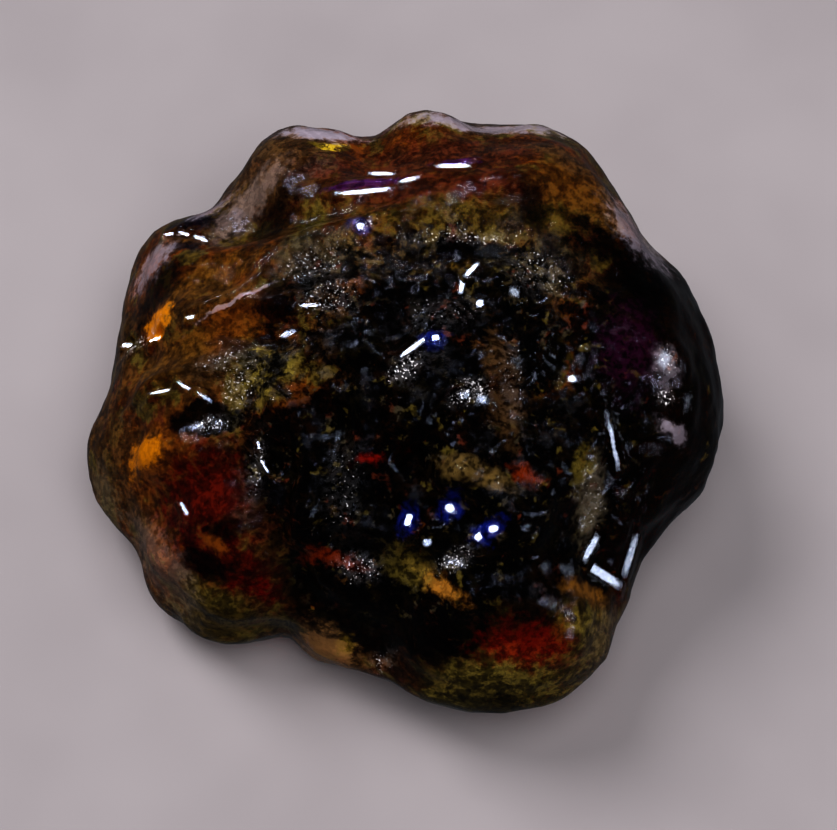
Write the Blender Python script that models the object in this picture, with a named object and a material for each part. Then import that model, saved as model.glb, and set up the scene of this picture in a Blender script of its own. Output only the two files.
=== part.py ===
"""Rough blue amber: one knobbly nodule, with smooth overlapping lobes round its margin and a pitted crown.

The nodule rests on a small natural flat. +Z is up, and the origin is at the middle of its bounding box, on
the surface that it stands on. Sizes below are in millimetres and angles in degrees.
A place on the nodule is an azimuth, anticlockwise from +X, and a rise above the girdle, as seen from the
girdle's middle.
"""

import math

import bmesh
import bpy
import numpy as np
from mathutils import Vector, noise

MM = 0.001

# Driving dimensions of the body, before its relief
CROWN_HEIGHT = 13.8
KEEL_DEPTH = 8.5
FLAT_CUT = 1.8
CAGE_CELLS = 28

# The girdle's lobes and dents seen from above: the azimuth of each, and the radius there
GIRDLE = (
    (0, 20.7), (20, 21.6), (34, 21.8), (44, 21.2), (51, 22.0), (60, 23.8), (78, 22.8), (89, 23.0),
    (97, 22.0), (104, 23.4), (112, 24.6), (127, 22.1), (139, 24.4), (153, 22.6), (164, 21.5),
    (184, 21.9), (198, 19.5), (209, 20.3), (218, 19.3), (226, 17.6), (234, 14.7), (243, 15.1),
    (262, 14.7), (280, 17.5), (296, 19.2), (312, 19.1), (332, 17.2), (343, 17.8), (353, 20.0),
)
# The crown's slope is flat with a thin edge on one side, and full and round opposite: the azimuth of the thin
# side, and the power of the curve on each side, which is 2 for an ellipse and 1 for a straight line
THIN_SIDE = 225
THIN_POWER = 1.35
FULL_POWER = 2.1
# How much higher the girdle is on the side opposite the thin one than in the middle, at LEAN_REACH
LEAN = 2.6
LEAN_REACH = 20.0

# Each lobe's azimuth, rise, radius and height
LOBES = (
    (119, 22, 5.0, 1.3), (145, 22, 3.6, 1.4), (158, 36, 5.0, 0.9), (178, 30, 4.6, 0.9),
    (199, 24, 6.0, 1.4), (225, 22, 6.0, 0.7), (284, 26, 7.0, 0.9), (310, 20, 3.5, 0.6),
    (347, 20, 5.0, 0.8), (14, 28, 5.0, 0.8), (52, 26, 6.0, 1.3), (70, 40, 4.0, 0.5), (88, 20, 2.8, 1.3),
)
LOBES_UNDERNEATH = ((30, -40, 8.0, 0.9), (135, -35, 7.0, 0.8), (220, -38, 8.0, 0.8), (300, -42, 7.0, 0.9))

# Each dent's azimuth, rise, radius and depth
DENTS = (
    (134, 26, 2.4, 1.3), (34, 16, 3.4, 1.2), (203, 42, 2.4, 1.8), (241, 6, 3.2, 1.0),
    (256, 12, 3.0, 0.7), (319, 22, 3.4, 1.6), (210, 2, 4.0, 0.8), (96, 26, 2.4, 1.0),
)
DENTS_UNDERNEATH = ((75, -30, 5.0, 0.8), (180, -42, 6.0, 0.8), (258, -40, 5.0, 0.8), (345, -34, 5.0, 0.8))

# Crests along the overlapping lobes: half width, height, and the places that each runs through
CRESTS = (
    (1.3, 0.9, ((158, 26), (154, 40), (148, 50))),
    (1.3, 0.8, ((171, 24), (170, 38), (163, 54))),
    (1.3, 1.0, ((187, 22), (190, 30), (195, 38), (190, 50))),
    (1.3, 0.8, ((198, 10), (208, 14), (220, 16), (232, 10))),
    (1.2, 0.8, ((208, 56), (222, 50), (232, 38), (244, 28))),
    (1.2, 0.9, ((345, 52), (342, 42), (335, 32), (330, 18))),
    (1.4, 0.8, ((356, 50), (2, 40), (8, 28))),
    (1.1, 0.7, ((106, 38), (90, 38), (74, 40), (60, 38))),
    (1.2, 0.9, ((130, 42), (116, 46), (98, 47), (84, 46))),
    (1.4, 0.7, ((20, -24), (60, -36), (100, -30), (140, -38))),
)
# Furrows between them: half width, depth, and places
FURROWS = (
    (1.4, 0.8, ((166, 20), (166, 34), (158, 52))),
    (1.4, 0.8, ((183, 20), (184, 34), (188, 46))),
    (1.2, 0.8, ((206, 48), (218, 42), (226, 32), (240, 20))),
    (1.3, 0.5, ((262, 34), (282, 38), (300, 38), (312, 34))),
    (1.3, 0.9, ((62, 48), (52, 46), (40, 46), (30, 36))),
    (1.2, 0.7, ((126, 50), (110, 54), (88, 54), (62, 50))),
    (1.3, 0.9, ((140, 22), (130, 28), (122, 36), (108, 44))),
    (1.4, 0.7, ((170, -20), (210, -34), (250, -28), (300, -36))),
)

# The pitted crown: its middle and radii seen from above, the share of them where it starts to fade, and
# its pits, which keep within a share of the radii
CROWN_MIDDLE = (2.0, -2.5)
CROWN_RADII = (17.0, 15.0)
CROWN_FADE = 0.4
PIT_COUNT = 44
PIT_SPREAD = 0.78
PIT_RADIUS = (1.3, 2.2)
PIT_DEPTH = (0.7, 2.0)
PIT_SEED = 11

# Waves all over: the size of each, and its height on the margin and on the crown
WAVES = ((7.0, 0.5, 0.5), (3.2, 0.28, 0.9))
WAVE_OCTAVES = 2

# The material's colour, roughness and metallic value
AMBER_COLOUR = (0.055, 0.022, 0.006, 1)
AMBER_ROUGHNESS = 0.12
AMBER_METALLIC = 0.0


def girdle_radius(azimuth):
    """The girdle's radius at an azimuth, on one smooth closed curve through the lobes and dents."""
    count = len(GIRDLE)
    azimuth %= 360
    last = max(k for k in range(count) if GIRDLE[k][0] <= azimuth)
    before, here, there, beyond = (GIRDLE[(last + k) % count] for k in (-1, 0, 1, 2))
    span = (there[0] - here[0]) % 360
    slope_here = (there[1] - before[1]) / ((there[0] - before[0]) % 360) * span
    slope_there = (beyond[1] - here[1]) / ((beyond[0] - here[0]) % 360) * span
    t = (azimuth - here[0]) / span
    return (here[1] * (1 + 2 * t) * (1 - t) ** 2 + slope_here * t * (1 - t) ** 2
            + there[1] * t * t * (3 - 2 * t) + slope_there * t * t * (t - 1))


def body_point(azimuth, rise):
    """Where the ray at an azimuth and rise from the girdle's middle leaves the body, before its relief."""
    turn, tilt = math.radians(azimuth), math.radians(rise)
    height, power = KEEL_DEPTH, 2
    if rise > 0:
        thinness = 0.5 + 0.5 * math.cos(turn - math.radians(THIN_SIDE))
        height, power = CROWN_HEIGHT, FULL_POWER + (THIN_POWER - FULL_POWER) * thinness
    out, up = math.cos(tilt) / girdle_radius(azimuth), abs(math.sin(tilt)) / height
    reach = (out ** power + up ** power) ** (-1 / power)
    return Vector((math.cos(turn) * math.cos(tilt), math.sin(turn) * math.cos(tilt), math.sin(tilt))) * reach


def bell(distance, radius):
    return np.exp(-(distance / radius) ** 2)


def bells(points, swellings):
    """The summed height of round swellings, each an azimuth, a rise, a radius and a height."""
    height = np.zeros(len(points))
    for azimuth, rise, radius, swell in swellings:
        away = np.linalg.norm(points - np.array(body_point(azimuth, rise)), axis=1)
        height += swell * bell(away, radius)
    return height


def distance_to_line(points, places):
    """How far each point is from the line through some places on the body."""
    line = [np.array(body_point(*place)) for place in places]
    nearest = np.full(len(points), np.inf)
    for start, end in zip(line, line[1:]):
        along = end - start
        share = np.clip((points - start) @ along / (along @ along), 0, 1)
        gap = np.linalg.norm(points - start - share[:, None] * along, axis=1)
        nearest = np.minimum(nearest, gap)
    return nearest


def ridges(points, creases):
    """The summed height of rounded ridges, each a half width, a height and the places on its line."""
    return sum(swell * bell(distance_to_line(points, places), width) for width, swell, places in creases)


def crown_share(points):
    """1 on the pitted crown, falling smoothly to 0 on the margin and underneath."""
    across = np.linalg.norm((points[:, :2] - CROWN_MIDDLE) / CROWN_RADII, axis=1)
    return np.clip((1 - across) / (1 - CROWN_FADE), 0, 1) * (points[:, 2] > 0)


def pits(points):
    """The depth of the pits spread at random over the crown, the deepest one counting where they overlap."""
    chance = np.random.default_rng(PIT_SEED)
    depth = np.zeros(len(points))
    for _ in range(PIT_COUNT):
        turn = chance.uniform(0, 2 * math.pi)
        out = PIT_SPREAD * math.sqrt(chance.uniform(0, 1))
        middle = np.array(CROWN_MIDDLE) + np.array(CROWN_RADII) * out * (math.cos(turn), math.sin(turn))
        radius = chance.uniform(*PIT_RADIUS)
        away = np.linalg.norm(points[:, :2] - middle, axis=1)
        depth = np.maximum(depth, chance.uniform(*PIT_DEPTH) * bell(away, radius))
    return depth * crown_share(points)


def waves(points):
    """The height of the waves that cover the whole nodule."""
    crown = crown_share(points)
    height = np.zeros(len(points))
    for size, on_margin, on_crown in WAVES:
        wave = np.array([noise.fractal(Vector(point) / size, 1.0, 2.0, WAVE_OCTAVES) for point in points])
        height += wave * (on_margin + (on_crown - on_margin) * crown)
    return height


def relief(points):
    """How far the surface stands out from the body at each point."""
    return (bells(points, LOBES + LOBES_UNDERNEATH) - bells(points, DENTS + DENTS_UNDERNEATH)
            + ridges(points, CRESTS) - ridges(points, FURROWS) + waves(points) - pits(points))


def body_cage():
    """A closed cage of even cells, and where each of its vertices meets the body, in millimetres."""
    mesh = bmesh.new()
    bmesh.ops.create_cube(mesh, size=2)
    bmesh.ops.subdivide_edges(mesh, edges=mesh.edges[:], cuts=CAGE_CELLS - 1, use_grid_fill=True)
    points = []
    for vertex in mesh.verts:
        x, y, z = (math.tan(c * math.pi / 4) for c in vertex.co)
        azimuth = math.degrees(math.atan2(y, x))
        rise = math.degrees(math.atan2(z, math.hypot(x, y)))
        points.append(body_point(azimuth, rise))
    return mesh, np.array(points)


def cut_flat(mesh):
    """Cuts the nodule off at the surface that it stands on, and closes the cut."""
    everything = mesh.verts[:] + mesh.edges[:] + mesh.faces[:]
    cut = bmesh.ops.bisect_plane(
        mesh, geom=everything, plane_co=(0, 0, 0), plane_no=(0, 0, -1), clear_outer=True
    )
    rim = [item for item in cut["geom_cut"] if isinstance(item, bmesh.types.BMEdge)]
    bmesh.ops.edgeloop_fill(mesh, edges=rim)


def nodule():
    """The whole nodule in metres, with its bounding box centred over the origin."""
    mesh, points = body_cage()
    outward = points / np.linalg.norm(points, axis=1)[:, None]
    points += outward * relief(points)[:, None]
    thin = math.radians(THIN_SIDE)
    points[:, 2] -= LEAN / LEAN_REACH * (points[:, 0] * math.cos(thin) + points[:, 1] * math.sin(thin))
    points[:, 2] += KEEL_DEPTH - FLAT_CUT
    points[:, :2] -= (points[:, :2].max(axis=0) + points[:, :2].min(axis=0)) / 2
    for vertex, point in zip(mesh.verts, points):
        vertex.co = Vector(point) * MM
    cut_flat(mesh)
    return mesh


def amber_material():
    material = bpy.data.materials.new("amber")
    material.use_nodes = True
    shader = material.node_tree.nodes["Principled BSDF"]
    shader.inputs["Base Color"].default_value = AMBER_COLOUR
    shader.inputs["Roughness"].default_value = AMBER_ROUGHNESS
    shader.inputs["Metallic"].default_value = AMBER_METALLIC
    return material


def main():
    for old in list(bpy.data.objects):
        bpy.data.objects.remove(old)
    collection = bpy.data.collections.new("rough_blue_amber")
    bpy.context.scene.collection.children.link(collection)
    mesh = nodule()
    data = bpy.data.meshes.new("amber")
    mesh.to_mesh(data)
    mesh.free()
    data.materials.append(amber_material())
    data.shade_smooth()
    collection.objects.link(bpy.data.objects.new("amber", data))


main()
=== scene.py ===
"""Rough blue amber on a pale surface: the fine nodule, its see-through finish, the lights and the camera.

Lengths are in millimetres and angles in degrees unless a line says otherwise. Places are seen from above,
in the part's own frame: +X is to the photo's right and +Y is away from the viewer.
"""

import math

import bmesh
import bpy
import numpy as np
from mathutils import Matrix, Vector, kdtree, noise
from mathutils.bvhtree import BVHTree

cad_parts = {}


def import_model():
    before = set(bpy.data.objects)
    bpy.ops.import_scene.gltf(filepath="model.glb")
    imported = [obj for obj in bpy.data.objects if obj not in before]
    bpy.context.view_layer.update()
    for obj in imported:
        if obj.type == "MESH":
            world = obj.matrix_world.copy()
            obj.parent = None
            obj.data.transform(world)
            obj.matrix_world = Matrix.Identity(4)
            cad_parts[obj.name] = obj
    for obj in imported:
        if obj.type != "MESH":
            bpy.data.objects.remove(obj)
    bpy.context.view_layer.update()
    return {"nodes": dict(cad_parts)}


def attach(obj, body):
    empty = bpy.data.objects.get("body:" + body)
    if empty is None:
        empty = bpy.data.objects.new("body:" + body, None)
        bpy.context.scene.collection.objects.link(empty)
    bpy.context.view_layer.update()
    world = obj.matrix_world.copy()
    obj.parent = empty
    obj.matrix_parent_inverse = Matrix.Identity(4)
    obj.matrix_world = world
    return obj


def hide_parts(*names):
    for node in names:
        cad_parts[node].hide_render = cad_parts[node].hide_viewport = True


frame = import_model()

MM = 0.001

# The fine nodule: welding distance, voxel size, and how often and how far its facets are smoothed away
WELD = 0.0001
VOXEL = 0.285
SMOOTH_ROUNDS = 8
SMOOTH_SHARE = 0.5

# The height below which the waves, pits and crests fade out towards the floor
FOOT = 1.5

# The pitted crown: its middle and radii, the share of them where it starts to fade, and its lowest height
CROWN_MIDDLE = (1.5, -3.0)
CROWN_RADII = (16.5, 14.5)
CROWN_FADE = 0.55
CROWN_FLOOR = 9.0

# Fine waves: the size of each, its height on the margin and on the crown, and the dimension, lacunarity and
# octaves of them all
WAVES = ((2.6, 0.10, 0.38), (1.2, 0.04, 0.15), (0.6, 0.012, 0.045))
WAVE_FRACTAL = (1.0, 2.0, 2)

# Fine pits, scattered where the crown's share is high enough, and how many radii from its middle each ends
PIT_COUNT = 120
PIT_RADIUS = (0.4, 1.0)
PIT_DEPTH = (0.12, 0.55)
PIT_SEED = 23
PIT_ZONE = 0.05
PIT_REACH = 2.2

# Thin crests that catch the light: half width, height, and the places along each
CRESTS = (
    (0.32, 0.30, ((-5.0, 10.9), (-3.0, 11.3), (-0.8, 11.6))),
    (0.28, 0.25, ((-2.2, 12.4), (-0.6, 12.8), (0.6, 12.9))),
    (0.28, 0.28, ((2.2, 12.4), (3.6, 12.8), (5.0, 12.9))),
    (0.35, 0.30, ((-18.2, -1.4), (-16.0, -0.6), (-13.6, -0.5), (-11.6, -1.2))),
    (0.30, 0.22, ((-17.6, -2.1), (-15.4, -1.6), (-13.2, -1.5))),
    (0.40, 0.25, ((-13.6, 3.2), (-11.2, 4.0), (-9.2, 4.9))),
    (0.30, 0.28, ((3.9, 2.9), (4.0, 4.1), (4.9, 5.1))),
    (0.28, 0.26, ((-0.3, -1.8), (1.0, -0.9), (2.0, -0.5))),
    (0.28, 0.24, ((-6.8, 2.4), (-5.8, 2.8), (-4.8, 2.6))),
    (0.30, 0.30, ((-9.2, -5.0), (-8.5, -6.0), (-8.4, -7.4))),
    (0.35, 0.45, ((12.8, -4.2), (13.3, -5.6), (14.0, -7.0))),
)

# Small flats that catch a lamp: place, angle of the long side, half length, half width and polish
FLATS = (
    ("long streak, top", (-2.4, 10.8), 6, 2.00, 0.24, 1.0),
    ("streak above it", (-1.3, 12.9), -3, 0.95, 0.20, 0.9),
    ("streak beside it", (0.5, 11.4), 0, 0.70, 0.18, 0.9),
    ("streak, top right", (3.4, 12.4), 0, 1.25, 0.22, 1.0),
    ("streak, left of the crown", (-5.8, 2.6), 0, 0.75, 0.18, 0.9),
    ("gleam below it", (-7.2, 1.2), 20, 0.65, 0.26, 0.8),
    ("gleam, far left", (-18.6, 4.1), 0, 0.45, 0.24, 0.8),
    ("gleam beside it", (-16.3, 3.0), 15, 0.50, 0.20, 0.9),
    ("wrinkle of the knob, left", (-15.4, 10.8), -8, 0.75, 0.17, 0.9),
    ("wrinkle of the knob, middle", (-14.4, 10.4), -28, 0.75, 0.17, 0.9),
    ("wrinkle of the knob, right", (-13.4, 9.8), -32, 0.65, 0.17, 0.8),
    ("foot of the slope's wrinkle", (-13.6, 2.9), 0, 0.35, 0.20, 0.8),
    ("wrinkle, left lobe", (-15.4, -1.5), 5, 1.00, 0.16, 0.8),
    ("wrinkle, left lobe", (-13.8, -1.6), -25, 0.80, 0.16, 0.9),
    ("wrinkle, left lobe", (-12.6, -2.3), -30, 0.70, 0.16, 0.8),
    ("gleam in the dark pit", (-12.8, -4.0), 5, 0.80, 0.24, 0.6),
    ("gleam in the dark pit", (-11.7, -3.9), -15, 0.60, 0.20, 0.6),
    ("streak beside the pit", (-9.0, -5.6), -75, 0.60, 0.18, 0.9),
    ("streak beside the pit, lower", (-8.7, -6.6), -55, 0.60, 0.18, 0.9),
    ("hooked streak, foot", (3.9, 3.5), 80, 0.70, 0.20, 1.0),
    ("hooked streak, head", (4.5, 4.5), 42, 0.65, 0.20, 1.0),
    ("slanted streak, crown", (0.9, -0.9), 32, 1.15, 0.20, 1.0),
    ("long streak, right", (13.4, -5.9), -72, 1.55, 0.22, 0.7),
    ("dot, lower crown", (0.5, -10.6), 75, 0.50, 0.28, 1.0),
    ("dot, lower crown", (3.1, -10.1), 0, 0.38, 0.34, 1.0),
    ("dot, lower crown", (4.9, -12.0), 40, 0.42, 0.30, 1.0),
    ("dot, lower crown", (5.8, -11.7), 20, 0.40, 0.30, 1.0),
    ("gleam, lower crown", (3.4, -13.2), 0, 0.65, 0.30, 0.6),
    ("dot, lower crown", (1.7, -11.9), 0, 0.36, 0.30, 0.8),
    ("dot, upper crown", (2.2, -0.4), 0, 0.32, 0.30, 1.0),
    ("dot, upper crown", (5.0, 2.1), 0, 0.32, 0.30, 1.0),
    ("dot, upper crown", (7.2, 2.8), 0, 0.32, 0.28, 0.9),
    ("dot, upper crown", (-2.6, 7.8), 0, 0.34, 0.28, 1.0),
    ("dot, right of the crown", (10.8, -2.4), 0, 0.36, 0.30, 0.8),
    ("gleam, middle of the crown", (4.0, -3.7), 20, 0.45, 0.30, 0.7),
    ("gleam, middle of the crown", (5.1, -4.0), 0, 0.36, 0.26, 0.7),
    ("pale gleam, right", (16.7, -0.9), 60, 0.60, 0.40, 0.6),
    ("streak, left lobe", (-14.0, -8.6), -60, 0.65, 0.18, 0.7),
    ("foot of the bright corner", (13.0, -12.6), 160, 1.45, 0.34, 0.8),
    ("bright bar beside the corner", (14.9, -11.15), 71, 1.35, 0.24, 0.6),
    ("left arm of the bright corner", (12.15, -11.45), 59, 1.00, 0.25, 0.8),
)

# The lowest height of a flat, how far its plane blends into the surface round it, and the power that shapes
# its ends
FLAT_FLOOR = 7.0
FLAT_BLEND = 0.30
FLAT_TAPER = 2.5

# Where the polish of a flat begins and where it is full, on a scale of 0 at its middle to 1 on its edge
FLAT_CORE = (1.00, 0.40)

# The share of a flat above which the points give its height and its own normal
FLAT_BODY = 0.3

# How often the edges in and round a flat are cut
FLAT_CUTS = 2

# How far above the surface the look towards a lamp starts
CLEARANCE = 0.5

# The camera, and the nearest and farthest things that it sees
CAMERA_TARGET = (1.14, -1.39, 10.32)
CAMERA_DISTANCE = 154.5
CAMERA_ELEVATION = 68.0
CAMERA_LENS = 100.0
SENSOR_WIDTH = 36.0
CAMERA_CLIP = (10.0, 10000.0)

# The floor: half its side, its two greys, their noise (size in metres, detail, roughness) and the range of it
FLOOR_REACH = 5000.0
FLOOR_GREYS = ((152, 147, 149), (160, 155, 157))
FLOOR_NOISE = (0.03, 3.0, 0.6)
FLOOR_RANGE = (0.3, 0.7)
FLOOR_ROUGHNESS = 0.7
FLOOR_SPECULAR = 0.2

# The faint light from all round
SKY_COLOUR = (0.86, 0.90, 1.0, 1)
SKY_STRENGTH = 0.06

# The lamps: broad ones that light rough surfaces, and small ones that only shine in gloss. Power is in watts
WARM = (1.0, 0.97, 0.98)
COOL = (0.80, 0.88, 1.0)
LAMP_FIELDS = ("name", "azimuth", "elevation", "distance", "size", "power", "colour", "seen")
LAMPS = [dict(zip(LAMP_FIELDS, values)) for values in (
    ("key", 137, 52, 1300, 680, 10.3, WARM, "rough"),
    ("fill", 318, 76, 1400, 1300, 13.1, WARM, "rough"),
    ("window", 140, 33, 400, 40, 0.28, COOL, "gloss"),
    ("ridge_light", 92, 46, 400, 40, 0.28, COOL, "gloss"),
    ("glint_front", 262, 74, 420, 26, 0.14, COOL, "gloss"),
    ("side_low", 322, 16, 400, 50, 0.24, COOL, "gloss"),
    ("side_right", 8, 13, 400, 60, 0.14, COOL, "gloss"),
)]


def linear(red, green, blue):
    """The linear colour of a display colour given from 0 to 255."""
    def one(level):
        c = level / 255
        return c / 12.92 if c <= 0.04045 else ((c + 0.055) / 1.055) ** 2.4
    return (one(red), one(green), one(blue), 1.0)


def bell(distance, radius):
    return np.exp(-(distance / radius) ** 2)


def crown_share(points):
    """1 on the pitted crown, falling smoothly to 0 on the margin and underneath."""
    across = np.linalg.norm((points[:, :2] - CROWN_MIDDLE) / CROWN_RADII, axis=1)
    return np.clip((1 - across) / (1 - CROWN_FADE), 0, 1) * (points[:, 2] > CROWN_FLOOR)


def smooth_copy(node):
    """A fine, even and smooth copy of a node's solid, as a new object."""
    data = node.data.copy()
    piece = bpy.data.objects.new("amber_nodule", data)
    bpy.context.scene.collection.objects.link(piece)
    mesh = bmesh.new()
    mesh.from_mesh(data)
    bmesh.ops.remove_doubles(mesh, verts=mesh.verts[:], dist=WELD * MM)
    mesh.to_mesh(data)
    mesh.free()
    remesh = piece.modifiers.new("even", "REMESH")
    remesh.mode = "VOXEL"
    remesh.voxel_size = VOXEL * MM
    smooth = piece.modifiers.new("smooth", "SMOOTH")
    smooth.factor = SMOOTH_SHARE
    smooth.iterations = SMOOTH_ROUNDS
    graph = bpy.context.evaluated_depsgraph_get()
    fine = bpy.data.meshes.new_from_object(piece.evaluated_get(graph))
    piece.modifiers.clear()
    piece.data = fine
    fine.name = "amber_nodule"
    bpy.data.meshes.remove(data)
    return piece


def vertex_array(mesh, name):
    values = np.empty(len(mesh.vertices) * 3, np.float32)
    mesh.vertices.foreach_get(name, values)
    return values.reshape(-1, 3).astype(float)


def fine_waves(points, crown):
    height = np.zeros(len(points))
    for size, on_margin, on_crown in WAVES:
        wave = np.array([noise.fractal(Vector(point) / size, *WAVE_FRACTAL) for point in points])
        height += wave * (on_margin + (on_crown - on_margin) * crown)
    return height


def fine_pits(points, crown):
    chance = np.random.default_rng(PIT_SEED)
    tree = kdtree.KDTree(len(points))
    for index, point in enumerate(points):
        tree.insert(point, index)
    tree.balance()
    depth = np.zeros(len(points))
    upper = np.flatnonzero(crown > PIT_ZONE)
    for _ in range(PIT_COUNT):
        centre = int(chance.choice(upper))
        radius = chance.uniform(*PIT_RADIUS)
        deep = chance.uniform(*PIT_DEPTH)
        for _, index, away in tree.find_range(points[centre], radius * PIT_REACH):
            depth[index] = max(depth[index], deep * math.exp(-(away / radius) ** 2))
    return depth * np.sqrt(crown)


def thin_crests(points):
    height = np.zeros(len(points))
    top = points[:, 2] > CROWN_FLOOR
    for half_width, rise, places in CRESTS:
        line = np.array(places)
        nearest = np.full(len(points), np.inf)
        for start, end in zip(line, line[1:]):
            along = end - start
            share = np.clip((points[:, :2] - start) @ along / (along @ along), 0, 1)
            gap = np.linalg.norm(points[:, :2] - start - share[:, None] * along, axis=1)
            nearest = np.minimum(nearest, gap)
        height = np.maximum(height, rise * bell(nearest, half_width))
    return height * top


def lamp_place(lamp):
    """Where a lamp stands."""
    turn, tilt = math.radians(lamp["azimuth"]), math.radians(lamp["elevation"])
    aim = (math.cos(turn) * math.cos(tilt), math.sin(turn) * math.cos(tilt), math.sin(tilt))
    return np.array(CAMERA_TARGET) + np.array(aim) * lamp["distance"]


def camera_place():
    tilt = math.radians(CAMERA_ELEVATION)
    return np.array(CAMERA_TARGET) + np.array((0, -math.cos(tilt), math.sin(tilt))) * CAMERA_DISTANCE


def unit(vector):
    return vector / np.linalg.norm(vector)


def near_flats(points, normals, reach):
    """For each small flat, how much each point of the upper surface belongs to it, down to 0 at the reach."""
    top = (points[:, 2] > FLAT_FLOOR) & (normals[:, 2] > 0)
    for _, middle, angle, half_length, half_width, polish in FLATS:
        side = math.radians(angle)
        offset = points[:, :2] - middle
        along = abs(offset @ (math.cos(side), math.sin(side)))
        across = abs(offset @ (-math.sin(side), math.cos(side)))
        inside = (along / half_length) ** FLAT_TAPER + (across / half_width) ** 2
        core = np.clip((FLAT_CORE[0] - inside) / (FLAT_CORE[0] - FLAT_CORE[1]), 0, 1)
        outside = np.hypot(np.maximum(along - half_length, 0), np.maximum(across - half_width, 0))
        share = np.clip(1 - outside / reach, 0, 1) * top
        yield middle, offset, polish * core * top, share


def divide_flats(mesh):
    """Divides the faces in and round the small flats, which need a finer mesh than the rest."""
    points = vertex_array(mesh, "co") / MM
    normals = vertex_array(mesh, "normal")
    near = np.zeros(len(points), bool)
    for *_, share in near_flats(points, normals, FLAT_BLEND + VOXEL):
        near |= share > 0
    fine = bmesh.new()
    fine.from_mesh(mesh)
    edges = [edge for edge in fine.edges if near[edge.verts[0].index] and near[edge.verts[1].index]]
    bmesh.ops.subdivide_edges(fine, edges=edges, cuts=FLAT_CUTS, use_grid_fill=True)
    bmesh.ops.triangulate(fine, faces=[face for face in fine.faces if len(face.verts) > 4])
    fine.to_mesh(mesh)
    fine.free()


def lamp_in_sight(solid, place, lamp):
    """Whether nothing of the solid stands between a place and a lamp."""
    aim = Vector(unit(lamp_place(lamp) - place))
    start = Vector(place) + (aim + Vector((0, 0, 1))) * CLEARANCE
    return solid.ray_cast(start * MM, aim)[0] is None


def flat_normal(solid, place, normal):
    """The normal nearest to the surface's own that turns a bright lamp towards the photo's viewer."""
    sight = unit(camera_place() - place)
    lamps = [lamp for lamp in LAMPS if lamp["seen"] == "gloss"]
    lamps = [lamp for lamp in lamps if lamp_in_sight(solid, place, lamp)] or lamps
    choices = [unit(sight + unit(lamp_place(lamp) - place)) for lamp in lamps]
    return max(choices, key=lambda choice: choice @ normal)


def level_flats(solid, points, normals):
    """Moves the upper surface onto the plane of each small flat, and returns how polished each point is."""
    polished = np.zeros(len(points))
    for middle, offset, polish, share in near_flats(points, normals, FLAT_BLEND):
        near = np.flatnonzero(share > FLAT_BODY)
        level = points[near, 2].mean()
        east, north, up = flat_normal(solid, np.array((*middle, level)), unit(normals[near].sum(axis=0)))
        plane = level - (offset @ (east, north)) / up
        points[:, 2] += (plane - points[:, 2]) * share * share * (3 - 2 * share)
        polished = np.maximum(polished, polish)
    return polished


def nodule():
    """The fine nodule, in place of the plain solid."""
    plain = frame["nodes"]["amber"]
    solid = BVHTree.FromObject(plain, bpy.context.evaluated_depsgraph_get())
    piece = smooth_copy(plain)
    mesh = piece.data
    divide_flats(mesh)
    points = vertex_array(mesh, "co") / MM
    normals = vertex_array(mesh, "normal")
    crown = crown_share(points)
    height = fine_waves(points, crown) - fine_pits(points, crown) + thin_crests(points)
    foot = np.clip(points[:, 2] / FOOT, 0, 1)
    points += normals * (height * foot)[:, None]
    polish = level_flats(solid, points, normals)
    mesh.attributes.new("polish", "FLOAT", "POINT").data.foreach_set("value", polish.astype(np.float32))
    points[:, 2] = np.maximum(points[:, 2], 0)
    mesh.vertices.foreach_set("co", (points * MM).astype(np.float32).ravel())
    mesh.update()
    mesh.shade_smooth()
    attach(piece, "root")
    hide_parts("amber")
    return piece


# The detail and roughness of the noise that moves a place about
DRIFT_DETAIL = 4.0
DRIFT_ROUGHNESS = 0.6

# The half height of the ellipses, so large that a place's own height makes no difference to them
TALL = 1e4


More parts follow.
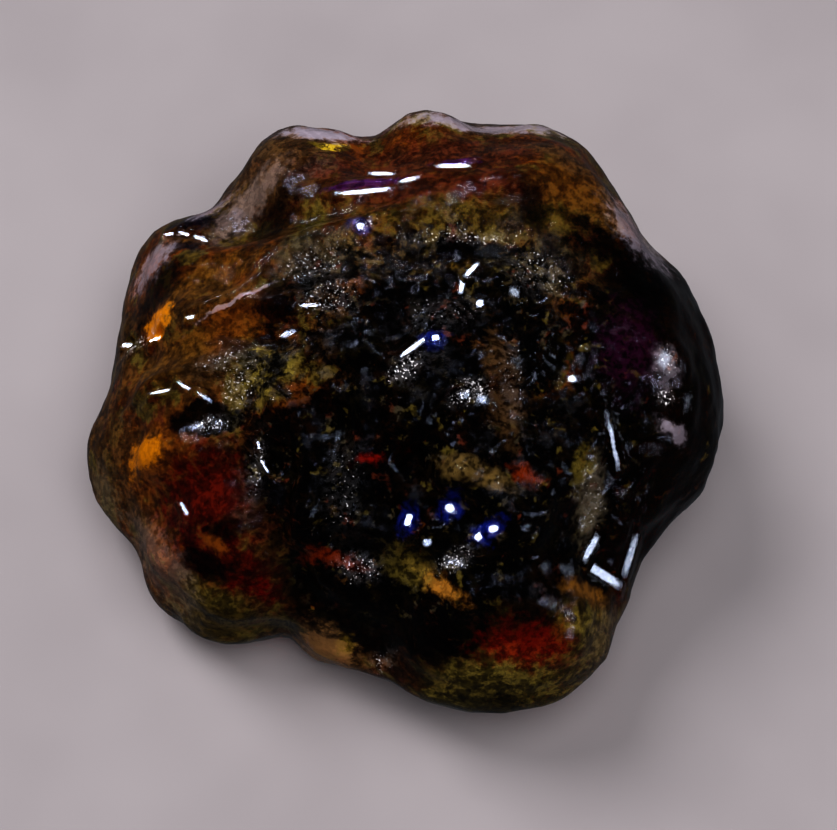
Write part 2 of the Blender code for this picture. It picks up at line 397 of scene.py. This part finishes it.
class Tree:
    """A material's or world's nodes, added one by one."""

    def __init__(self, owner):
        owner.use_nodes = True
        self.nodes = owner.node_tree.nodes
        self.links = owner.node_tree.links

    def add(self, kind, settings=None, **inputs):
        node = self.nodes.new(kind)
        for name, value in (settings or {}).items():
            setattr(node, name, value)
        for name, value in inputs.items():
            key = int(name[1:]) if name[0] == "i" and name[1:].isdigit() else name.replace("_", " ")
            self.set(node.inputs[key], value)
        return node

    def set(self, socket, value):
        if isinstance(value, bpy.types.NodeSocket):
            self.links.new(value, socket)
        else:
            socket.default_value = value

    def math(self, operation, a, b=0.0, c=0.0):
        return self.add("ShaderNodeMath", {"operation": operation}, i0=a, i1=b, i2=c).outputs[0]

    def vector(self, operation, a, b=(0, 0, 0)):
        node = self.add("ShaderNodeVectorMath", {"operation": operation}, i0=a, i1=b)
        return node.outputs["Value" if operation == "LENGTH" else "Vector"]

    def noise(self, vector, size, detail=2.0, roughness=0.5):
        return self.add("ShaderNodeTexNoise", Vector=vector, Scale=1 / size, Detail=detail,
            Roughness=roughness).outputs["Fac"]

    def drift(self, vector, size, reach):
        """The vector moved about at random, by up to about half of the reach."""
        colour = self.add("ShaderNodeTexNoise", Vector=vector, Scale=1 / size, Detail=DRIFT_DETAIL,
            Roughness=DRIFT_ROUGHNESS).outputs["Color"]
        way = self.vector("SUBTRACT", colour, (0.5, 0.5, 0.5))
        return self.vector("ADD", vector, self.vector("MULTIPLY", way, (reach, reach, reach)))

    def ramp(self, value, low, high, to_low=0.0, to_high=1.0):
        return self.add("ShaderNodeMapRange", {"interpolation_type": "SMOOTHSTEP"}, i0=value, i1=low, i2=high,
            i3=to_low, i4=to_high).outputs[0]

    def mix(self, share, a, b):
        node = self.add("ShaderNodeMix", {"data_type": "RGBA"})
        self.set(node.inputs["Factor"], share)
        self.set(node.inputs["A"], a)
        self.set(node.inputs["B"], b)
        return node.outputs["Result"]

    def spot(self, vector, middle, radii, angle):
        """The distance from the middle of an ellipse seen from above, 1 on its edge."""
        node = self.add("ShaderNodeMapping", {"vector_type": "TEXTURE"}, Vector=vector,
            Location=(*middle, 0.0), Rotation=(0.0, 0.0, math.radians(angle)), Scale=(*radii, TALL))
        return self.vector("LENGTH", node.outputs[0])


# Colours of the amber, and of the painted reflections, glow, highlight fringes and halos, sheen and glints
# laid on it
BROWN = linear(196, 142, 76)
RUST = linear(232, 134, 46)
OCHRE = linear(226, 158, 66)
OLIVE = linear(194, 172, 84)
RED = linear(205, 42, 18)
MAROON = linear(190, 100, 66)
# Near-black, for the dark zones and specks, and darker in the folds, holes and the pit
NEAR_BLACK = linear(3, 2, 2)
GLOW_ORANGE = linear(255, 160, 8)
UMBER = linear(190, 144, 92)
TAN = linear(240, 200, 120)
GREY = linear(158, 144, 112)
REFLECTION_PALE = linear(166, 156, 168)
SHEEN_GREY = linear(168, 168, 172)
REFLECTION_ROSE = linear(168, 146, 134)
WINE = linear(182, 36, 18)
PLUM = linear(104, 36, 86)
YELLOW = linear(250, 214, 60)
FLAME = linear(224, 92, 22)
BLUE = linear(30, 30, 56)
HALO_AZURE = linear(60, 90, 255)
FRINGE_VIOLET = linear(150, 80, 200)
GLINT_WHITE = linear(255, 252, 255)

# How far places wander: the size of each drift and its reach. The mottle and the marks on it take the first
# two, one after the other, and the spots and the painted glints take the third
WIDE_DRIFT = (3.5, 2.0)
FINE_DRIFT = (1.0, 1.4)
SPOT_DRIFT = (1.0, 1.0)

# Below, a NOISE is a size, a detail and often a roughness. A RANGE is where something begins and where it is
# full, often followed by its two shares there

# The mottle
RUST_NOISE = (5.0, 3.0)
RUST_RANGE = (0.42, 0.58)
OLIVE_NOISE = (2.6, 3.0)
OLIVE_RANGE = (0.52, 0.60, 0.0, 0.85)
MAROON_NOISE = (2.1, 3.0)
MAROON_RANGE = (0.42, 0.34, 0.0, 0.7)

# How rough the edges of marks are
EDGE_NOISE = (0.7, 4.0, 0.65)
EDGE_RANGE = (0.3, 0.7, -0.3, 0.3)

# The dusky crown and the darkest zones: middle, radii and angle. The last range is the light left in them
DUSK = ((2.6, -3.9), (13.4, 12.6), -8)
DUSK_RANGE = (1.10, 0.85)
DARK = (
    ((0.5, -7.6), (10.2, 5.6), 0),
    ((3.2, -0.2), (7.4, 4.4), 0),
    ((17.5, -1.5), (6.2, 10.0), 0),
    ((9.0, -9.5), (8.0, 6.0), 20),
    ((-1.0, -13.6), (6.5, 3.4), -8),
    ((-12.3, -3.6), (2.4, 1.1), 0),
    ((2.8, -16.2), (3.2, 1.8), 0),
)
DARK_RANGE = (1.2, 0.85)
DARK_LIGHT_RANGE = (0.0, 1.0, 1.0, 0.06)

# Bare places in the dark zones, and the clouds that let colour through, which are fewer on the dusky crown
BARE_NOISE = (1.5, 4.0, 0.65)
BARE_RANGE = (0.60, 0.68, 1.0, 0.25)
CLOUD_NOISE = (1.3, 5.0, 0.7)
CLOUD_RANGE = (0.40, 0.56)
CLOUD_DUSK = -0.05
CLOUD_LEAST_RANGE = (0.0, 1.0, 0.42, 0.06)

# Fine dark specks, and the least light that they leave, by the dusk and by the cloudiness
SPECK_NOISE = (0.45, 4.0, 0.65)
SPECK_RANGE = (0.36, 0.56)
SPECK_DUSK_RANGE = (0.0, 1.0, 0.46, 0.20)
SPECK_CLOUDY_RANGE = (0.0, 0.5, 0.0, 0.85)

# Small coloured crumbs on the crown: where they lie, their hues, and their cloudiness
CRUMB_SHIFT = (31.0, 7.0, 0.0)
CRUMB_NOISE = (0.9, 4.0, 0.6)
CRUMB_RANGE = (0.57, 0.66, 0.0, 0.75)
CRUMB_HUE_NOISE = (2.2, 1.0)
CRUMB_GREY_RANGE = (0.40, 0.46)
CRUMB_OLIVE_RANGE = (0.50, 0.56)
CRUMB_CLOUD = 0.10

# Marks on the mottle, under the clouds: name, middle, radii, angle, share, cloudiness and colour. The
# cloudiness also makes painted reflections and glow opaque and bright
MARKS = (
    ("brown lobe, top left", (-8.6, 14.4), (4.0, 3.4), 30, 0.90, 0.0, UMBER),
    # Painted reflection: this and the next mark lay pinkish pale on the glossy groove below the top left lobe
    ("pinkish slope, upper left", (-10.8, 11.4), (3.4, 1.1), 42, 0.90, 0.25, REFLECTION_ROSE),
    ("pinkish slope above it", (-5.6, 13.2), (1.6, 0.9), 30, 0.80, 0.15, REFLECTION_ROSE),
    ("brown band, top", (2.0, 13.4), (8.0, 2.0), 5, 0.85, 0.0, MAROON),
    ("rust band, top", (2.4, 10.2), (5.6, 1.4), 0, 0.85, 0.0, MAROON),
    ("umber patch, top", (5.6, 10.6), (1.9, 1.2), 0, 0.75, 0.0, MAROON),
    ("ochre lobe, top right", (11.2, 10.8), (2.8, 2.6), 40, 0.80, 0.0, OCHRE),
    ("umber edge of the lobe", (10.4, 13.6), (2.4, 0.8), -20, 0.80, 0.0, UMBER),
    ("yellow spot at the notch", (-4.8, 15.7), (1.1, 0.4), 8, 1.00, 0.7, YELLOW),
    ("olive band, top", (4.0, 8.2), (8.0, 1.3), 0, 0.90, 0.0, OLIVE),
    ("olive spot, upper left", (-5.9, 9.2), (1.0, 1.4), -10, 1.00, 0.15, OLIVE),
    ("olive spot beside it", (-3.6, 6.6), (1.1, 1.0), 0, 1.00, 0.0, TAN),
    ("orange band, left", (-12.4, 5.9), (3.4, 1.5), 20, 0.95, 0.0, OCHRE),
    ("brown below the band", (-10.6, 2.0), (3.4, 1.5), 20, 0.85, 0.0, RUST),
    ("ochre band, left", (-15.0, 0.8), (3.0, 1.6), 10, 0.90, 0.0, OCHRE),
    ("orange lobe, left", (-15.6, -5.8), (3.0, 2.0), -20, 0.90, 0.0, RUST),
    ("dark red, lower left", (-12.4, -8.0), (2.7, 3.2), 120, 0.90, 0.0, WINE),
    ("dark red, farther down", (-11.4, -12.0), (3.4, 1.6), -20, 0.90, 0.0, WINE),
    ("red fleck, farther down", (-9.8, -13.3), (1.8, 0.5), -10, 1.00, 0.0, RED),
    ("olive, lower left", (-12.6, -14.6), (4.0, 1.6), -15, 0.85, 0.0, OLIVE),
    ("dark ground of the red patch", (7.0, -16.4), (3.6, 1.8), 0, 0.80, 0.0, NEAR_BLACK),
    ("olive ground, crown's top", (2.6, 5.4), (7.4, 2.2), 0, 0.70, 0.0, OLIVE),
    ("brown edge of the left lobe", (-18.8, -3.6), (1.6, 3.4), 10, 0.70, 0.0, BROWN),
    ("olive rim, bottom", (5.6, -19.6), (7.6, 1.8), 5, 0.95, 0.30, OLIVE),
    ("grey, upper right of the crown", (9.4, 4.9), (2.6, 2.0), 0, 0.85, 0.15, GREY),
    ("grey, upper left of the crown", (-5.4, 5.9), (3.2, 1.9), 0, 0.85, 0.15, GREY),
    ("olive, left of the crown", (-8.6, -1.2), (2.6, 1.9), 0, 0.95, 0.35, OLIVE),
    ("dark fold, upper left", (-8.4, 9.8), (1.4, 2.6), -30, 0.80, 0.0, NEAR_BLACK),
    ("dark fold, left of the crown", (-7.4, 3.6), (2.0, 1.2), 30, 0.75, 0.0, NEAR_BLACK),
    ("dark slope, far left", (-16.2, 6.2), (2.6, 1.5), 50, 0.85, 0.0, NEAR_BLACK),
    ("dark patch, crown's top", (4.6, 5.6), (2.2, 0.9), 0, 0.90, 0.0, NEAR_BLACK),
    ("dark patch, upper right", (13.0, 6.9), (2.6, 1.2), 10, 0.90, 0.0, NEAR_BLACK),
    ("dark hole in the red", (-12.6, -11.9), (1.7, 0.8), -20, 0.90, 0.0, NEAR_BLACK),
    ("dark spot in the red", (-11.2, -10.2), (1.1, 0.8), 0, 0.80, 0.0, NEAR_BLACK),
    ("olive, lower right", (12.2, -16.6), (2.2, 2.6), 0, 0.90, 0.30, OLIVE),
)

# Dark, bright and pale spots that lie over the clouds, in the same terms. Some are painted light: highlight
# fringes, glow, reflections and hazy highlights, each noted where it stands
SPOTS = (
    ("dark spot, top right", (8.4, 9.3), (1.0, 1.7), 20, 0.90, 0.0, NEAR_BLACK),
    ("dark fold under the lobe", (11.8, 8.3), (1.7, 0.5), -15, 0.85, 0.0, NEAR_BLACK),
    ("dark slope, upper right", (15.8, 4.6), (1.7, 2.6), 0, 0.85, 0.0, NEAR_BLACK),
    ("dark foot, bottom", (5.6, -20.6), (3.2, 0.9), 0, 0.80, 0.0, NEAR_BLACK),
    ("dark ground, bottom", (1.8, -17.4), (2.6, 1.5), 0, 0.75, 0.0, NEAR_BLACK),
    ("dark patch, crown's top", (3.7, 6.2), (2.3, 0.9), 0, 0.85, 0.0, NEAR_BLACK),
    ("dark patch, upper crown", (-0.4, 3.5), (2.2, 1.4), 0, 0.80, 0.0, NEAR_BLACK),
    ("dark patch, upper crown", (6.3, 1.0), (1.4, 1.2), 0, 0.75, 0.0, NEAR_BLACK),
    ("dark patch, left of the crown", (-3.8, 0.4), (1.9, 1.3), 0, 0.75, 0.0, NEAR_BLACK),
    # Painted highlight fringes: this and the next spot lay violet along the edges of two highlight streaks
    ("violet fringe of the long streak", (-2.4, 11.3), (2.2, 0.26), 6, 0.80, 0.0, FRINGE_VIOLET),
    ("violet fringe, top right", (3.4, 12.85), (1.4, 0.30), 0, 0.80, 0.0, FRINGE_VIOLET),
    ("dark swirl of the knob", (-13.6, 11.4), (2.5, 0.8), -8, 0.95, 0.0, BLUE),
    ("dark hollow of the knob", (-14.6, 9.3), (1.2, 0.4), -20, 0.85, 0.0, BLUE),
    # Partly the amber's own orange and partly painted glow: this and the next spot are made opaque and bright
    # where light shines through the thin left margin
    ("orange spot, left", (-16.1, 3.9), (1.10, 1.00), 0, 1.00, 0.60, GLOW_ORANGE),
    ("bright spot of the left lobe", (-16.7, -4.8), (1.4, 1.1), 0, 1.00, 0.40, GLOW_ORANGE),
    ("orange fleck in the red", (-12.0, -11.1), (0.9, 0.4), -30, 0.90, 0.0, RUST),
    ("red fleck, lower crown", (-4.4, -12.2), (1.9, 0.40), -8, 0.85, 0.0, FLAME),
    ("tan streak, lower crown", (2.4, -14.2), (2.2, 0.5), -42, 1.00, 0.35, OCHRE),
    ("olive streak, lower crown", (0.4, -12.8), (1.7, 0.8), -30, 0.80, 0.0, OLIVE),
    ("red patch, bottom", (7.9, -17.6), (2.8, 1.1), 0, 0.85, 0.0, RED),
    ("yellow spot, lower right", (11.8, -14.2), (1.5, 0.6), 5, 0.90, 0.25, OCHRE),
    ("yellow spot, bottom left", (-3.7, -16.1), (0.6, 0.4), 0, 0.70, 0.2, YELLOW),
    ("tan streak, crown", (4.7, -8.5), (2.4, 0.7), -18, 0.70, 0.0, TAN),
    ("red fleck, crown", (7.8, -8.4), (1.1, 0.6), -30, 0.90, 0.0, FLAME),
    ("violet, right", (14.4, -0.3), (1.8, 2.9), 0, 0.70, 0.0, PLUM),
    ("umber column, crown", (6.4, -3.0), (1.0, 3.2), 8, 0.70, 0.0, UMBER),
    ("grey-green slope, right", (12.0, -9.2), (0.8, 2.3), -10, 0.90, 0.35, GREY),
    ("olive on the slope", (11.4, -7.6), (0.6, 1.1), -10, 0.80, 0.15, OLIVE),
    ("crimson fleck, crown", (-1.9, -7.3), (0.9, 0.3), 0, 1.00, 0.2, RED),
    # Painted light, down to the pale bevel: painted reflections of the bright surroundings on rims, edges,
    # notches and the bevel, and painted hazy highlights on the right slope and along the wrinkle
    ("pale slope, left knob", (-16.8, 9.0), (1.8, 1.3), 45, 0.80, 0.6, REFLECTION_PALE),
    ("pinkish slope, upper left", (-10.2, 12.1), (3.4, 1.3), 42, 0.60, 0.40, REFLECTION_ROSE),
    ("pale edge of the knob", (-13.0, 12.6), (1.8, 0.7), 30, 0.80, 0.6, REFLECTION_PALE),
    ("pale notch, top", (-5.6, 17.2), (2.8, 0.9), -6, 1.00, 0.9, REFLECTION_PALE),
    ("pale edge, top", (5.8, 17.3), (5.8, 0.9), -3, 0.90, 0.8, REFLECTION_PALE),
    ("pale notch, upper right", (15.6, 9.0), (2.9, 1.7), -55, 0.80, 0.65, REFLECTION_PALE),
    ("pale slope, right", (16.8, -1.2), (1.0, 1.3), 0, 0.60, 0.45, REFLECTION_PALE),
    ("pale slope, right, lower", (17.2, -4.9), (1.1, 0.6), -20, 0.80, 0.6, REFLECTION_PALE),
    ("pale wrinkle of the slope", (-11.0, 3.4), (2.7, 0.16), 22, 0.70, 0.6, REFLECTION_PALE),
    ("grey rim, left lobe", (-20.0, -6.4), (1.0, 3.0), 15, 0.70, 0.3, GREY),
    ("pale bevel, lower left", (-15.9, -10.8), (4.2, 1.1), -55, 0.55, 0.35, REFLECTION_ROSE),
    ("brown notch, bottom left", (-5.4, -16.2), (2.7, 1.0), -15, 0.80, 0.5, UMBER),
    # Painted reflections of the bright surroundings on the rims, in this spot and the next
    ("pale rim beside the notch", (-8.0, -15.6), (1.6, 0.5), -10, 0.80, 0.7, REFLECTION_PALE),
    ("grey rim, bottom lobe", (13.4, -16.3), (2.6, 1.2), 57, 0.45, 0.25, REFLECTION_ROSE),
)

# Where a mark or spot begins and where it is full, 1 being its edge
MARK_RANGE = (1.45, 0.50)

# Painted blue halos round the brightest highlight dots of the crown, a painted glow of those highlights:
# middle, radii and angle
HIGHLIGHT_HALOS = (
    ((0.5, -10.6), (0.60, 0.90), 0),
    ((3.1, -10.1), (0.75, 0.70), 0),
    ((5.4, -11.8), (1.00, 0.65), 20),
    ((2.1, -0.5), (0.75, 0.65), 0),
    ((-2.6, 7.9), (0.80, 0.60), 0),
)
HIGHLIGHT_HALO_SHARE = 0.70

# A distance in which no spot counts
FAR = 10.0

# Patches of painted hazy sheen and painted white glints on fine grains, standing in for the sparkle of light
# on the rough surface: middle, radii, angle and share
GLINT_PATCHES = (
    ((-5.6, 5.8), (2.8, 1.7), 0, 0.65),
    ((3.8, 7.0), (5.2, 0.6), 0, 0.72),
    ((8.6, 4.6), (2.6, 2.2), 0, 0.65),
    ((-10.9, -0.4), (3.2, 1.2), 0, 0.65),
    ((-12.2, -4.0), (1.9, 0.7), 0, 0.76),
    ((-9.2, -6.6), (0.8, 2.4), -10, 0.70),
    ((-2.6, -12.6), (2.0, 1.1), 0, 0.75),
    ((3.4, -13.1), (1.5, 0.7), 0, 0.92),
    ((4.3, -3.6), (1.8, 0.8), 10, 0.90),
    ((0.3, -2.2), (1.7, 1.0), 30, 0.84),
    ((16.8, -0.9), (1.0, 1.2), 0, 0.80),
    ((16.8, -3.0), (0.8, 0.8), 0, 0.80),
    ((-17.4, 3.6), (1.9, 0.5), 10, 0.80),
    ((-1.2, -17.2), (1.2, 0.8), 0, 0.70),
    ((7.0, -2.4), (1.0, 3.4), 0, 0.60),
    ((-2.4, 8.0), (1.2, 0.6), 0, 0.80),
    ((-4.6, 3.2), (2.6, 1.6), 0, 0.70),
    ((2.6, 1.6), (3.4, 1.6), 0, 0.55),
    ((-3.6, -8.6), (1.6, 3.2), 0, 0.58),
    ((12.2, -9.0), (1.0, 2.2), -10, 0.66),
    ((-10.4, -2.2), (1.6, 1.4), 0, 0.75),
)
GLINT_PATCH_RANGE = (1.4, 0.4)
SHEEN_NOISE = (0.45, 5.0, 0.75)
SHEEN_RANGE = (0.42, 0.60, 0.0, 0.60)
GLINT_NOISE = (0.17, 3.0, 0.7)
GLINT_RANGE = (0.0, 0.06)

# The limit above which the noise makes a painted glint: how the patch changes it, and what it is outside the
# patches
GLINT_PATCH_SHIFT = -0.26
GLINT_LIMIT = 0.785

# The dust and the bump: dust lies mostly on the crown, and both are absent from the polished flats
DUST_NOISE = (1.8, 4.0, 0.65)
DUST_RANGE = (0.50, 0.62)
DUST_ZONE_RANGE = (1.15, 0.90, 0.25, 1.0)
BUMP_NOISE = (0.30, 4.0, 0.65)
BUMP_HEIGHT = 0.10
BUMP_STRENGTH = (0.35, 0.95)

# The finish: roughness where clear and where dusty, IOR, gloss, transmission and the absorption of the depth
CLEAR_ROUGHNESS = 0.045
DUSTY_ROUGHNESS = 0.19
AMBER_IOR = 1.54
AMBER_GLOSS = (0.30, 0.31, 0.36, 1)
AMBER_TRANSMISSION = 0.80
DEPTH_COLOUR = (0.88, 0.68, 0.25, 1)
DEPTH_DENSITY = 480.0


def nearest_spot(tree, place, zones):
    """The distance from the nearest of several ellipses, 1 on their edges."""
    away = FAR
    for middle, radii, angle in zones:
        away = tree.math("MINIMUM", tree.spot(place, middle, radii, angle), away)
    return away


def lay_marks(tree, place, edge, marks, colour, cloud_and_painted_light):
    """The colour and the cloudiness, which also holds the opacity of painted light, with the marks laid over
    them. The edge moves their rims in or out.
    """
    for _, middle, radii, angle, share, cloud_and_painted_light_share, tint in marks:
        away = tree.math("ADD", tree.spot(place, middle, radii, angle), edge)
        colour = tree.mix(tree.ramp(away, *MARK_RANGE, 0.0, share), colour, tint)
        if cloud_and_painted_light_share:
            cloud_and_painted_light = tree.math("MAXIMUM", cloud_and_painted_light, tree.ramp(away, *MARK_RANGE, 0.0, cloud_and_painted_light_share))
    return colour, cloud_and_painted_light


def mottle(tree, here, place):
    """The brown of the amber with rust, olive and maroon zones."""
    colour = tree.mix(tree.ramp(tree.noise(here, *RUST_NOISE), *RUST_RANGE), BROWN, RUST)
    colour = tree.mix(tree.ramp(tree.noise(place, *OLIVE_NOISE), *OLIVE_RANGE), colour, OLIVE)
    return tree.mix(tree.ramp(tree.noise(place, *MAROON_NOISE), *MAROON_RANGE), colour, MAROON)


def light_share(tree, place, dusk):
    """How much of the colour shows through the dark zones and between the clouds."""
    dark = nearest_spot(tree, place, DARK)
    bare = tree.ramp(tree.noise(place, *BARE_NOISE), *BARE_RANGE)
    dark = tree.math("MULTIPLY", tree.ramp(dark, *DARK_RANGE), bare)
    clouds = tree.math("MULTIPLY_ADD", dusk, CLOUD_DUSK, tree.noise(place, *CLOUD_NOISE))
    clouds = tree.math("MAXIMUM", tree.ramp(clouds, *CLOUD_RANGE), tree.ramp(dusk, *CLOUD_LEAST_RANGE))
    return tree.math("MULTIPLY", clouds, tree.ramp(dark, *DARK_LIGHT_RANGE))


def add_crumbs(tree, here, dusk, colour, cloud_and_painted_light):
    """Small coloured crumbs scattered over the crown."""
    crumbs = tree.noise(tree.vector("ADD", here, CRUMB_SHIFT), *CRUMB_NOISE)
    share = tree.math("MULTIPLY", tree.ramp(crumbs, *CRUMB_RANGE), dusk)
    hue = tree.noise(here, *CRUMB_HUE_NOISE)
    tint = tree.mix(tree.ramp(hue, *CRUMB_GREY_RANGE), MAROON, GREY)
    tint = tree.mix(tree.ramp(hue, *CRUMB_OLIVE_RANGE), tint, OLIVE)
    colour = tree.mix(share, colour, tint)
    return colour, tree.math("MAXIMUM", cloud_and_painted_light, tree.math("MULTIPLY", share, CRUMB_CLOUD))


def add_highlight_halos(tree, near, edge, colour):
    """Painted blue halos round the brightest highlight dots, a painted glow of the highlights."""
    halo = tree.math("ADD", nearest_spot(tree, near, HIGHLIGHT_HALOS), edge)
    return tree.mix(tree.ramp(halo, *MARK_RANGE, 0.0, HIGHLIGHT_HALO_SHARE), colour, HALO_AZURE)


def add_specks(tree, here, dusk, colour, cloud_and_painted_light):
    """Fine dark specks, weaker off the crown, in cloudy amber and under the painted light."""
    specks = tree.ramp(tree.noise(here, *SPECK_NOISE), *SPECK_RANGE)
    least = tree.math("MAXIMUM", tree.ramp(dusk, *SPECK_DUSK_RANGE), tree.ramp(cloud_and_painted_light, *SPECK_CLOUDY_RANGE))
    return tree.mix(tree.math("MAXIMUM", specks, least), NEAR_BLACK, colour)


def add_painted_glints(tree, here, near, colour, cloud_and_painted_light):
    """Painted hazy sheen with fine painted white glints in patches, made opaque so that they show bright."""
    patch = 0.0
    for middle, radii, angle, share in GLINT_PATCHES:
        away = tree.spot(near, middle, radii, angle)
        patch = tree.math("MAXIMUM", patch, tree.ramp(away, *GLINT_PATCH_RANGE, 0.0, share))
    thick = tree.math("MULTIPLY", patch, patch)
    sheen = tree.math("MULTIPLY", thick, tree.ramp(tree.noise(here, *SHEEN_NOISE), *SHEEN_RANGE))
    limit = tree.math("MULTIPLY_ADD", patch, GLINT_PATCH_SHIFT, GLINT_LIMIT)
    glints = tree.ramp(tree.math("SUBTRACT", tree.noise(here, *GLINT_NOISE), limit), *GLINT_RANGE)
    colour = tree.mix(glints, tree.mix(sheen, colour, SHEEN_GREY), GLINT_WHITE)
    return colour, tree.math("MAXIMUM", tree.math("MAXIMUM", cloud_and_painted_light, sheen), glints)


def amber_colour(tree, here):
    """The mottled colour of the amber with its dark zones and marks, among them painted highlight halos and
    fringes, painted glow, reflections, sheen and glints, and how opaque it is from cloud and from the painted
    light.

    The amber has 113 ellipses in all, and from about 117 on Cycles renders it black.
    """
    place = tree.drift(tree.drift(here, *WIDE_DRIFT), *FINE_DRIFT)
    near = tree.drift(here, *SPOT_DRIFT)
    edge = tree.ramp(tree.noise(here, *EDGE_NOISE), *EDGE_RANGE)
    colour = mottle(tree, here, place)
    colour, cloud_and_painted_light = lay_marks(tree, place, edge, MARKS, colour, 0.0)
    dusk = tree.ramp(tree.spot(place, *DUSK), *DUSK_RANGE)
    light = light_share(tree, place, dusk)
    colour = tree.mix(light, NEAR_BLACK, colour)
    cloud_and_painted_light = tree.math("MULTIPLY", cloud_and_painted_light, light)
    colour, cloud_and_painted_light = add_crumbs(tree, here, dusk, colour, cloud_and_painted_light)
    colour, cloud_and_painted_light = lay_marks(tree, near, edge, SPOTS, colour, cloud_and_painted_light)
    # Painted glow: blue halos round the highlight dots
    colour = add_highlight_halos(tree, near, edge, colour)
    colour = add_specks(tree, here, dusk, colour, cloud_and_painted_light)
    # Painted sheen and glints laid over all
    return add_painted_glints(tree, here, near, colour, cloud_and_painted_light)


def amber_material():
    material = bpy.data.materials.new("amber")
    tree = Tree(material)
    shader = tree.nodes["Principled BSDF"]
    here = tree.add("ShaderNodeMapping", {"vector_type": "POINT"},
        Vector=tree.add("ShaderNodeTexCoord").outputs["Object"], Scale=(1 / MM, 1 / MM, 1 / MM)).outputs[0]
    polish = tree.add("ShaderNodeAttribute", {"attribute_name": "polish"}).outputs["Fac"]
    colour, cloud_and_painted_light = amber_colour(tree, here)
    tree.set(shader.inputs["Base Color"], colour)
    # Cloudy amber and painted light, such as the painted reflections, glow, sheen and glints, let less light
    # through, so their colour shows opaque
    tree.set(shader.inputs["Transmission Weight"], tree.ramp(cloud_and_painted_light, 0.0, 1.0, AMBER_TRANSMISSION, 0.0))

    unpolished = tree.math("SUBTRACT", 1.0, polish)
    dust = tree.math("MULTIPLY", unpolished, tree.ramp(tree.noise(here, *DUST_NOISE), *DUST_RANGE))
    dust = tree.math("MULTIPLY", dust, tree.ramp(tree.spot(here, *DUSK), *DUST_ZONE_RANGE))
    tree.set(shader.inputs["Roughness"], tree.ramp(dust, 0.0, 1.0, CLEAR_ROUGHNESS, DUSTY_ROUGHNESS))
    grain = tree.noise(here, *BUMP_NOISE)
    strength = tree.math("MULTIPLY", unpolished, tree.ramp(dust, 0.0, 1.0, *BUMP_STRENGTH))
    bump = tree.add("ShaderNodeBump", Distance=BUMP_HEIGHT * MM, Strength=strength, Height=grain)
    tree.set(shader.inputs["Normal"], bump.outputs[0])
    shader.inputs["IOR"].default_value = AMBER_IOR
    shader.inputs["Specular Tint"].default_value = AMBER_GLOSS

    depth = tree.add("ShaderNodeVolumeAbsorption", Color=DEPTH_COLOUR, Density=DEPTH_DENSITY)
    tree.links.new(depth.outputs[0], tree.nodes["Material Output"].inputs["Volume"])
    return material


def floor_material():
    material = bpy.data.materials.new("pale_surface")
    tree = Tree(material)
    shader = tree.nodes["Principled BSDF"]
    here = tree.add("ShaderNodeTexCoord").outputs["Object"]
    darker, lighter = (linear(*grey) for grey in FLOOR_GREYS)
    colour = tree.mix(tree.ramp(tree.noise(here, *FLOOR_NOISE), *FLOOR_RANGE), darker, lighter)
    tree.set(shader.inputs["Base Color"], colour)
    shader.inputs["Roughness"].default_value = FLOOR_ROUGHNESS
    shader.inputs["Specular IOR Level"].default_value = FLOOR_SPECULAR
    return material


def floor():
    mesh = bmesh.new()
    bmesh.ops.create_grid(mesh, x_segments=1, y_segments=1, size=FLOOR_REACH * MM)
    data = bpy.data.meshes.new("floor")
    mesh.to_mesh(data)
    mesh.free()
    piece = bpy.data.objects.new("floor", data)
    bpy.context.scene.collection.objects.link(piece)
    data.materials.append(floor_material())
    piece.visible_glossy = False


def world():
    sky = bpy.data.worlds.new("studio")
    bpy.context.scene.world = sky
    tree = Tree(sky)
    tree.nodes["Background"].inputs["Color"].default_value = SKY_COLOUR
    tree.nodes["Background"].inputs["Strength"].default_value = SKY_STRENGTH


def stand_lamp(lamp):
    """Puts up a round lamp aimed at the nodule, which either lights rough surfaces or shines in gloss."""
    data = bpy.data.lights.new(lamp["name"], "AREA")
    data.shape = "DISK"
    data.size = lamp["size"] * MM
    data.energy = lamp["power"]
    data.color = lamp["colour"]
    light = bpy.data.objects.new(lamp["name"], data)
    place = Vector(lamp_place(lamp))
    light.location = place * MM
    light.rotation_euler = (place - Vector(CAMERA_TARGET)).to_track_quat("Z", "Y").to_euler()
    light.visible_diffuse = lamp["seen"] == "rough"
    light.visible_glossy = lamp["seen"] == "gloss"
    light.visible_transmission = lamp["seen"] == "rough"
    bpy.context.scene.collection.objects.link(light)


def camera():
    place = Vector(camera_place())
    data = bpy.data.cameras.new("camera")
    data.lens = CAMERA_LENS
    data.sensor_width = SENSOR_WIDTH
    data.clip_start, data.clip_end = (end * MM for end in CAMERA_CLIP)
    view = bpy.data.objects.new("camera", data)
    view.location = place * MM
    view.rotation_euler = (place - Vector(CAMERA_TARGET)).to_track_quat("Z", "Y").to_euler()
    bpy.context.scene.collection.objects.link(view)
    bpy.context.scene.camera = view


stone = nodule()
stone.data.materials.clear()
stone.data.materials.append(amber_material())
floor()
world()
for each in LAMPS:
    stand_lamp(each)
camera()
bpy.context.scene.view_settings.view_transform = "Standard"
bpy.context.scene.view_settings.look = "High Contrast"
